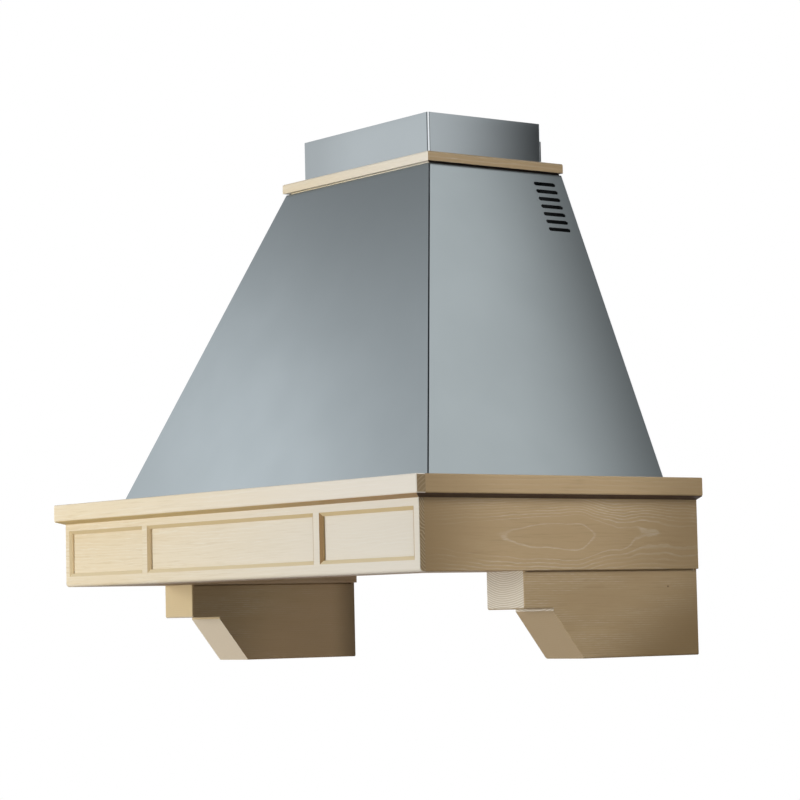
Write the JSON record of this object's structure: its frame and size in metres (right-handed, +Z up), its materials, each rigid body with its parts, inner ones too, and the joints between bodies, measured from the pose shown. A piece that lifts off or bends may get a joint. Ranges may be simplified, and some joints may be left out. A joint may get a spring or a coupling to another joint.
{
  "type": "wooden range hood cover",
  "caption": "Wall-hung kitchen hood cover: limed ash base on corbels, sloping satin steel canopy, wooden collar and telescopic flue.",
  "frame": {"origin": "midway between the two wall-screw holes of the back rail, on the wall face", "axes": "+X along the wall to the right as seen from the front, +Y into the wall, +Z up"},
  "size_m": [0.926, 0.5, 0.788],
  "materials": {
    "limed_ash": "limed ash under a satin lacquer",
    "inner_pine": "planed pine",
    "canopy_steel": "satin sheet",
    "flue_steel": "satin sheet",
    "liner_steel": "brushed sheet",
    "galvanised_steel": "galvanised sheet",
    "filter_aluminium": "mill finish",
    "filter_mesh": "layered expanded mesh",
    "latch_plastic": "fine texture",
    "trim_plastic": "fine texture",
    "button_plastic": "gloss moulding",
    "housing_plastic": "moulded",
    "flap_plastic": "moulded",
    "gland_plastic": "moulded nylon",
    "lamp_chrome": "polished",
    "lamp_glass": "frosted",
    "motor_enamel": "sprayed enamel",
    "bright_steel": "ground",
    "zinc_screws": "zinc plated"
  },
  "bodies": {
    "cover": {"back_rail": "inner_pine", "blower_chamber": "galvanised_steel", "bottom_rail_front": "inner_pine", "bottom_rail_left": "inner_pine", "bottom_rail_right": "inner_pine", "cable_gland": "gland_plastic", "canopy_front": "canopy_steel", "canopy_left": "canopy_steel", "canopy_rear_bridge": "galvanised_steel", "canopy_right": "canopy_steel", "chamber_roof": "galvanised_steel", "collar_front": "limed_ash", "collar_left": "limed_ash", "collar_rear": "limed_ash", "collar_right": "limed_ash", "control_trim": "trim_plastic", "corbel_left": "limed_ash", "corbel_right": "limed_ash", "corbel_screws": "zinc_screws", "corner_blocks": "inner_pine", "cove_front": "limed_ash", "cove_left": "limed_ash", "cove_right": "limed_ash", "filter_frame_left": "filter_aluminium", "filter_frame_right": "filter_aluminium", "filter_meshes": "filter_mesh", "flange_screws": "zinc_screws", "flap_pin": "bright_steel", "flue_bracket": "galvanised_steel", "flue_lower": "flue_steel", "front_board": "limed_ash", "lamp_housings": "housing_plastic", "lamp_lenses": "lamp_glass", "lamp_rings": "lamp_chrome", "ledge_front": "limed_ash", "ledge_left": "limed_ash", "ledge_right": "limed_ash", "liner_pan": "liner_steel", "motor": "motor_enamel", "nosing_front": "limed_ash", "nosing_left": "limed_ash", "nosing_right": "limed_ash", "outlet_spigot": "housing_plastic", "scroll_front": "housing_plastic", "scroll_rear": "housing_plastic", "side_board_left": "limed_ash", "side_board_right": "limed_ash", "switch_block": "housing_plastic"},
    "flue_sleeve": {"flue_upper": "flue_steel"},
    "fan": {"impeller": "galvanised_steel", "fan_shaft": "bright_steel"},
    "flap_left": {"flap_left": "flap_plastic"},
    "flap_right": {"flap_right": "flap_plastic"},
    "filter_latch_left": {"filter_latch_left": "latch_plastic"},
    "filter_latch_right": {"filter_latch_right": "latch_plastic"},
    "button_off": {"button_off": "button_plastic"},
    "button_low": {"button_low": "button_plastic"},
    "button_medium": {"button_medium": "button_plastic"},
    "button_high": {"button_high": "button_plastic"},
    "button_light": {"button_light": "button_plastic"}
  },
  "joints": [
    {"name": "flue_slide", "type": "slide", "parent": "cover", "child": "flue_sleeve", "axis": [0, 0, 1], "range_m": [0, 0.26]},
    {"name": "fan_spin", "type": "hinge", "parent": "cover", "child": "fan", "pos_m": [-0.08046, -0.1245, 0.1398], "axis": [0, 1, 0], "continuous": true},
    {"name": "flap_left_hinge", "type": "hinge", "parent": "cover", "child": "flap_left", "pos_m": [0, -0.1245, 0.2798], "axis": [0, 1, 0], "range_deg": [0, 80]},
    {"name": "flap_right_hinge", "type": "hinge", "parent": "cover", "child": "flap_right", "pos_m": [0, -0.1245, 0.2798], "axis": [0, -1, 0], "range_deg": [0, 80]},
    {"name": "filter_latch_left_slide", "type": "slide", "parent": "cover", "child": "filter_latch_left", "axis": [0, 1, 0], "range_m": [0, 0.006], "stiffness_N_per_m": 300, "springref_m": -0.002},
    {"name": "filter_latch_right_slide", "type": "slide", "parent": "cover", "child": "filter_latch_right", "axis": [0, 1, 0], "range_m": [0, 0.006], "stiffness_N_per_m": 300, "springref_m": -0.002},
    {"name": "button_off_press", "type": "slide", "parent": "cover", "child": "button_off", "axis": [0, 0, 1], "range_m": [0, 0.0025], "stiffness_N_per_m": 800, "springref_m": -0.001},
    {"name": "button_low_press", "type": "slide", "parent": "cover", "child": "button_low", "axis": [0, 0, 1], "range_m": [0, 0.0025], "stiffness_N_per_m": 800, "springref_m": -0.001},
    {"name": "button_medium_press", "type": "slide", "parent": "cover", "child": "button_medium", "axis": [0, 0, 1], "range_m": [0, 0.0025], "stiffness_N_per_m": 800, "springref_m": -0.001},
    {"name": "button_high_press", "type": "slide", "parent": "cover", "child": "button_high", "axis": [0, 0, 1], "range_m": [0, 0.0025], "stiffness_N_per_m": 800, "springref_m": -0.001},
    {"name": "button_light_press", "type": "slide", "parent": "cover", "child": "button_light", "axis": [0, 0, 1], "range_m": [0, 0.0025], "stiffness_N_per_m": 800, "springref_m": -0.001}
  ]
}
